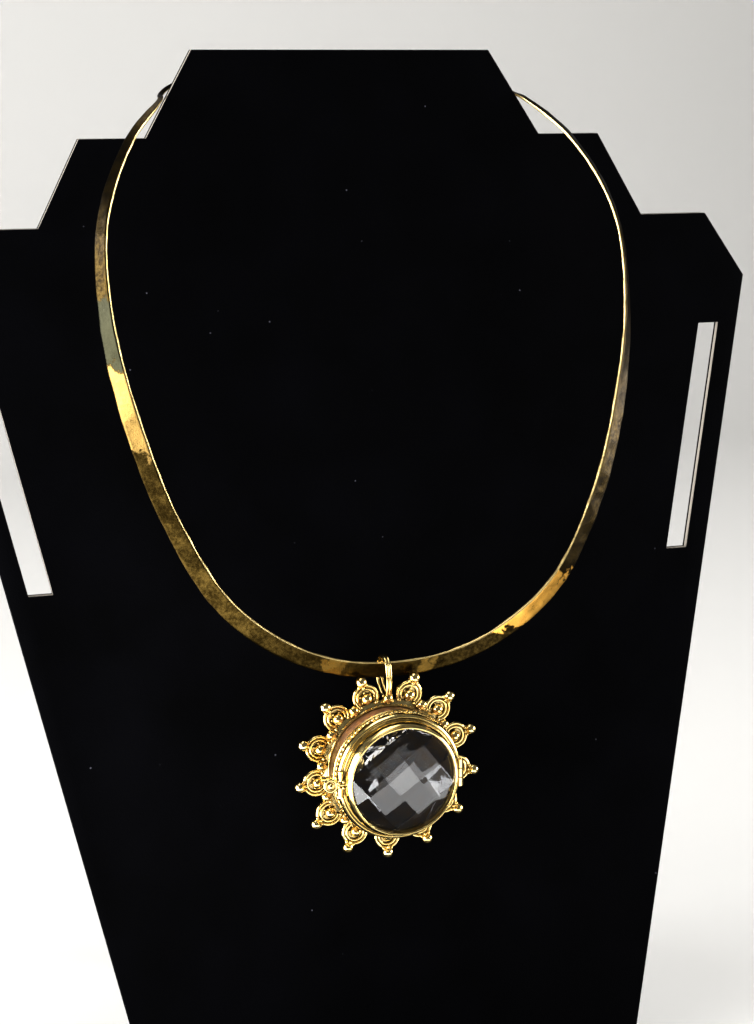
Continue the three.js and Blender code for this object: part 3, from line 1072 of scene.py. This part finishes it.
class NECKLACE_OT_rays(bpy.types.Operator):
    """Models one sun ray and one cluster of granules, and sets them round the locket"""

    bl_idname = "necklace.rays"
    bl_label = "Sun rays"

    PLATE = 3.2
    PLATE_DEPTH = 0.75
    # the width of each step drawn on the plate's face, and how far it is then pulled back
    PLATE_STEPS = ((0.35, 0.22), (1.2, -0.12))
    CENTRE_DROP = 0.25
    GRAIN_RING = 1.42
    GRAIN_ANGLES = (0, 62, 128, 180, 232, 298)
    # to the side, forward and up, share of a grain's radius, and how finely it is divided
    RAY_GRAINS = (
        (-0.95, 0.75, 3.05, 1.0, 14), (-2.15, 0.6, -2.0, 1.1, 14),
        (0.95, 0.75, 3.05, 1.0, 14), (2.15, 0.6, -2.0, 1.1, 14), (0, 1.1, 2.75, 0.9, 14),
    )
    VALLEY_GRAINS = (
        (-0.95, 1.0, -0.75, 0.9, 14), (0.95, 1.0, -0.75, 0.9, 14), (0, 1.0, -1.15, 0.9, 14),
        (-1.0, 0.35, 0.55, 0.8, 12), (1.0, 0.35, 0.55, 0.8, 12),
    )

    def execute(self, context):
        sizes = context.scene.necklace_locket
        granule, tip, grain, wire = (
            value / MM for value in (sizes.granule, sizes.tip, sizes.grain, sizes.wire)
        )
        centre = at(0, 0, RAY_RADIUS)
        ray = open_piece("ray_pattern")
        add_cylinder(48, self.PLATE, self.PLATE_DEPTH * MM, at(0, -0.25, RAY_RADIUS))
        select_where("FACE", lambda face: face.normal.y < -0.9)
        for width, back in self.PLATE_STEPS:
            bpy.ops.mesh.inset(thickness=width * MM)
            pull((0, back * MM, 0))
        bpy.ops.mesh.select_mode(type="VERT")
        draw_arch(centre + Vector((0, -0.42 * MM, 0)), 3.02, wire, math.radians(84))
        draw_arch(centre + Vector((0, -0.4 * MM, 0)), 2.18, wire * 0.92, math.radians(96))
        middle = RAY_RADIUS - self.CENTRE_DROP
        draw_ball(at(0, 0.95, middle), granule, segments=28, squash=0.96)
        for angle in self.GRAIN_ANGLES:
            turn = math.radians(angle)
            x, rise = self.GRAIN_RING * math.sin(turn), self.GRAIN_RING * math.cos(turn)
            draw_ball(at(x, 0.35, middle + rise), grain * 0.72, segments=12)
        draw_ball(at(0, 0.75, RAY_RADIUS + 4.15), tip, segments=28, squash=0.97)
        draw_grains(self.RAY_GRAINS, RAY_RADIUS, grain)
        draw_ball(at(0, -0.2, RAY_RADIUS + 3.6), 0.75, segments=16)
        angles = [BAIL_GAP / 2 + number * RAY_SPACING for number in range(RAY_COUNT)]
        set_round(ray, "sun_ray", angles)

        cluster = open_piece("cluster_pattern")
        draw_ball(at(0, 0.8, VALLEY_RADIUS), 1.28, segments=26, squash=0.96)
        draw_grains(self.VALLEY_GRAINS, VALLEY_RADIUS, grain)
        draw_ball(at(0, -0.1, VALLEY_RADIUS - 0.2), 1.0, segments=16)
        between = [
            BAIL_GAP / 2 + (number + 0.5) * RAY_SPACING for number in range(RAY_COUNT - 1)
        ]
        set_round(cluster, "valley_granules", [*between, 0.0])
        return {"FINISHED"}


class NECKLACE_OT_bail(bpy.types.Operator):
    """Bends the two wires of the bail over the collar"""

    bl_idname = "necklace.bail"
    bl_label = "Bail"

    def execute(self, context):
        radius = context.scene.necklace_locket.bail_wire / MM
        route = [Vector(row) for row in BAIL_ROUTE]
        bail = open_piece("wire_bail")
        for side in (1, -1):
            places = [smooth_route(route, i / BAIL_STEPS) for i in range(BAIL_STEPS + 1)]
            draw_bent_wire([at(side * p.x, p.y, p.z) for p in places], radius)
        gild(bail)
        return {"FINISHED"}


class NECKLACE_OT_hinge(bpy.types.Operator):
    """Models the case's hinge and catch barrels, the peg and the hinge pin"""

    bl_idname = "necklace.hinge"
    bl_label = "Hinge and catch"

    # from where to where above and below the middle, and the radius, of each part of the catch
    CATCH_BARRELS = ((0.9, 3.3, 0.6), (2.9, 3.25, 0.72))
    # from where to where to the side, and the radius: the peg and its head
    PEG = ((-14.2, -18.3, 0.62), (-17.7, -18.6, 0.8))
    PEG_FORWARD = 6.0
    BORE = 0.5
    PIN = 0.24

    def execute(self, context):
        barrels = open_piece("case_barrels")
        for side in (1, -1):
            draw_barrel(HINGE_RADIUS, side * ROOM_END, side * BARREL_END, BARREL)
            for low, high, radius in self.CATCH_BARRELS:
                draw_barrel(-CATCH_RADIUS, side * low, side * high, radius)
        for start, end, radius in self.PEG:
            draw_rod(at(start, self.PEG_FORWARD, 0), at(end, self.PEG_FORWARD, 0), radius)
        bore = open_piece("pin_bore")
        draw_barrel(HINGE_RADIUS, -4, 4, self.BORE, rim=0.05)
        cut_away(barrels, bore)
        gild(barrels)

        pin = open_piece("rivet_pin")
        draw_barrel(HINGE_RADIUS, -BARREL_END, BARREL_END, self.PIN, rim=0.04)
        for side in (1, -1):
            draw_ball(at(HINGE_RADIUS, HINGE_FORWARD, side * BARREL_END), 0.4, segments=12)
        gild(pin)
        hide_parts("hinge_pin")
        return {"FINISHED"}


# ---- lid ----

class NECKLACE_OT_lid(bpy.types.Operator):
    """Turns the lid's bezel and lip, and models its knuckle and thumb ring"""

    bl_idname = "necklace.lid"
    bl_label = "Locket lid"

    BEZEL = (
        (12.6, 10.2), (14.38, 10.2), (14.38, 11.0), (14.42, 11.3), (14.4, 11.75),
        (14.28, 12.3), (14.06, 12.85), (13.8, 13.3), (13.6, 13.52), (13.5, 13.5),
        (13.5, 12.1), (12.6, 12.1), (12.6, 10.2),
    )
    LIP = (
        (13.48, 12.9), (13.68, 13.45), (13.65, 13.8), (13.4, 14.02), (13.12, 13.92),
        (13.02, 13.7), (13.2, 13.45), (13.44, 13.3), (13.48, 12.9),
    )

    def execute(self, context):
        sizes = context.scene.necklace_locket
        bezel = turned_piece("lid_bezel", self.BEZEL, 144, 0.12, 6.0, 0.07)
        gild(bezel, "lid")
        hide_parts("locket_lid")

        lip = turned_piece("lid_lip", self.LIP, 144, 0.05, 2.0, 0.1)
        gild(lip, "lid")

        fittings = open_piece("thumb_ring")
        draw_barrel(HINGE_RADIUS, -KNUCKLE_END, KNUCKLE_END, BARREL)
        draw_rod(at(13.4, 11.0, 0), at(14.9, 11.0, 0), 0.5)
        draw_rod(at(-13.5, 11.45, 0), at(-16.6, 11.45, 0), 0.42)
        draw_rod(at(-17.9, 11.1, 0), at(-17.9, 11.5, 0), 1.35, sides=32)
        draw_arch(at(-17.9, 11.45, 0), 1.43, 0.36, 0.0, sides=12, steps=40)
        draw_ball(at(-17.9, 11.75, 0), 0.85, segments=20)
        grain = sizes.grain / MM
        for x, rise in ((-14.7, 0.75), (-14.7, -0.75), (-13.9, 0.0), (-16.0, 0.5)):
            draw_ball(at(x, 11.7, rise), grain, segments=12)
        gild(fittings, "lid")
        return {"FINISHED"}


class NECKLACE_OT_crystal(bpy.types.Operator):
    """Cuts the crystal: square facets on both domes, one cut for each facet"""

    bl_idname = "necklace.crystal"
    bl_label = "Checkerboard crystal"

    RADIUS = 13.1
    GIRDLE = (12.6, 13.1)
    CROWN = 2.6
    PAVILION = 2.0
    TURN = math.radians(38)
    REACH = 3

    def cut_dome(self, girdle, height, cell):
        """Cuts one dome, whose height falls with the square of the radius."""
        outward = 1 if height > 0 else -1
        sag = height * cell ** 2 / (2 * self.RADIUS ** 2)
        for i in range(-self.REACH, self.REACH + 1):
            for j in range(-self.REACH, self.REACH + 1):
                x = cell * (i * math.cos(self.TURN) - j * math.sin(self.TURN))
                rise = cell * (i * math.sin(self.TURN) + j * math.cos(self.TURN))
                share = (x ** 2 + rise ** 2) / self.RADIUS ** 2
                forward = girdle + height * (1 - share) - sag
                slope = 2 * height / self.RADIUS ** 2
                normal = Vector((slope * x, -1, slope * rise)) * outward
                choose_all("SELECT")
                bpy.ops.mesh.bisect(
                    plane_co=at(x, forward, rise),
                    plane_no=normal,
                    use_fill=True,
                    clear_outer=True,
                )

    def execute(self, context):
        cell = context.scene.necklace_locket.facet / MM
        piece = open_piece("checkerboard_crystal")
        back, front = self.GIRDLE[0] - self.PAVILION, self.GIRDLE[1] + self.CROWN
        depth = (front - back + 1) * MM
        add_cylinder(96, self.RADIUS, depth, at(0, (front + back) / 2, 0))
        self.cut_dome(self.GIRDLE[1], self.CROWN, cell)
        self.cut_dome(self.GIRDLE[0], -self.PAVILION, cell)
        choose_all("SELECT")
        bpy.ops.mesh.remove_doubles(threshold=MM / 1000)
        bpy.ops.mesh.normals_make_consistent(inside=False)
        finish_piece(piece, "lid", made("clear_quartz", crystal), smooth=2)
        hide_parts("rock_crystal")
        return {"FINISHED"}


# ---- stage ----

def softbox(name, place, target, width, height, power):
    """A large soft lamp that faces the object."""
    bpy.ops.object.light_add(type="AREA", location=place)
    lamp = bpy.context.object
    lamp.name = name
    lamp.data.shape = "RECTANGLE"
    lamp.data.size = width
    lamp.data.size_y = height
    lamp.data.energy = power
    lamp.rotation_euler = (Vector(target) - Vector(place)).to_track_quat("-Z", "Y").to_euler()
    lamp.visible_camera = False
    return lamp


def floor_card(name, azimuth, near, far, width, power):
    """A glowing card that lies on the floor, pointing away from the locket."""
    away = Vector((math.sin(azimuth), -math.cos(azimuth), 0))
    place = Vector((LOCKET.x, LOCKET.y, 0.004)) + away * (near + far) / 2
    lamp = softbox(name, place, place + Vector((0, 0, 1)), width, far - near, power)
    lamp.rotation_euler = (math.pi, 0, azimuth)


class NECKLACE_OT_stage(bpy.types.Operator):
    """Sets the plain room, the lamps and the camera"""

    bl_idname = "necklace.stage"
    bl_label = "Stage"

    CAMERA = Vector((-0.1602, -0.5186, 0.2582))
    TARGET = Vector((0.0017, -0.0200, 0.1465))
    LENS = 75.4
    # the room: its floor is pulled up into walls and a ceiling, with rounded corners
    FLOOR_SIZE = 6.0
    ROOM_HEIGHT = 3.0
    ROUNDING = 0.6
    # how far the room moves forward, so that its back wall stands closer
    ROOM_SHIFT = 1.6

    def execute(self, context):
        stage = context.scene.necklace_stage
        floor = open_piece("studio_floor")
        bpy.ops.mesh.primitive_plane_add(size=self.FLOOR_SIZE)
        pull((0, 0, self.ROOM_HEIGHT))
        to_object_mode()
        floor.data.transform(Matrix.Translation((0, -self.ROOM_SHIFT, 0)))
        apply_modifier(floor, "BEVEL", width=self.ROUNDING, segments=16, limit_method="ANGLE")
        for polygon in floor.data.polygons:
            polygon.use_smooth = True
        floor.data.materials.append(made("floor", plain_floor))

        world = bpy.data.worlds.new("studio")
        context.scene.world = world
        world.use_nodes = True
        sky = world.node_tree.nodes["Background"]
        sky.inputs["Color"].default_value = (0.9, 0.94, 1.0, 1.0)
        sky.inputs["Strength"].default_value = stage.room

        locket = tuple(LOCKET)
        softbox("left_softbox", (-0.95, -0.02, 0.26), locket, 1.2, 0.5, stage.key)
        softbox("right_softbox", (0.92, -0.28, 0.22), locket, 0.6, 0.4, stage.fill)
        floor_card("left_card", math.radians(-64), 0.12, 0.62, 0.4, stage.card)
        floor_card("right_card", math.radians(17), 0.1, 0.62, 0.22, stage.card * 0.2)
        overhead = softbox("top_softbox", (0, 0.1, 1.4), (0, 0.1, 0), 1.6, 1.4, stage.top)
        overhead.visible_glossy = False
        softbox("rim_softbox", (-0.15, 0.06, 1.1), locket, 1.1, 0.42, stage.rim)
        floor.visible_glossy = False
        context.scene.view_settings.view_transform = "Standard"

        bpy.ops.object.camera_add(location=self.CAMERA)
        camera = context.object
        camera.rotation_euler = (self.TARGET - self.CAMERA).to_track_quat("-Z", "Y").to_euler()
        camera.data.lens = self.LENS
        camera.data.clip_start = 0.01
        context.scene.camera = camera
        return {"FINISHED"}


# ---- panel and registration ----

PIECES = (
    NECKLACE_OT_display_board,
    NECKLACE_OT_display_strut,
    NECKLACE_OT_collar,
    NECKLACE_OT_clasp,
    NECKLACE_OT_case,
    NECKLACE_OT_rays,
    NECKLACE_OT_bail,
    NECKLACE_OT_hinge,
    NECKLACE_OT_lid,
    NECKLACE_OT_crystal,
    NECKLACE_OT_stage,
)


class NECKLACE_PT_panel(bpy.types.Panel):
    """Lists the pieces and their settings"""

    bl_idname = "NECKLACE_PT_panel"
    bl_label = "Necklace"
    bl_space_type = "VIEW_3D"
    bl_region_type = "UI"
    bl_category = "Necklace"

    def draw(self, context):
        for name in SETTINGS:
            box = self.layout.box()
            group = getattr(context.scene, name)
            for setting in group.__annotations__:
                box.prop(group, setting)
        for piece in PIECES:
            self.layout.operator(piece.bl_idname)


SETTINGS = {
    "necklace_collar": CollarSettings,
    "necklace_locket": LocketSettings,
    "necklace_finish": FinishSettings,
    "necklace_stage": StageSettings,
}


def register():
    for group in SETTINGS.values():
        bpy.utils.register_class(group)
    for name, group in SETTINGS.items():
        setattr(bpy.types.Scene, name, bpy.props.PointerProperty(type=group))
    for piece in (*PIECES, NECKLACE_PT_panel):
        bpy.utils.register_class(piece)


def unregister():
    for piece in reversed((*PIECES, NECKLACE_PT_panel)):
        bpy.utils.unregister_class(piece)
    for name in SETTINGS:
        delattr(bpy.types.Scene, name)
    for group in reversed(SETTINGS.values()):
        bpy.utils.unregister_class(group)


def main():
    register()
    for piece in PIECES:
        group, name = piece.bl_idname.split(".")
        getattr(getattr(bpy.ops, group), name)()


if __name__ == "__main__":
    main()
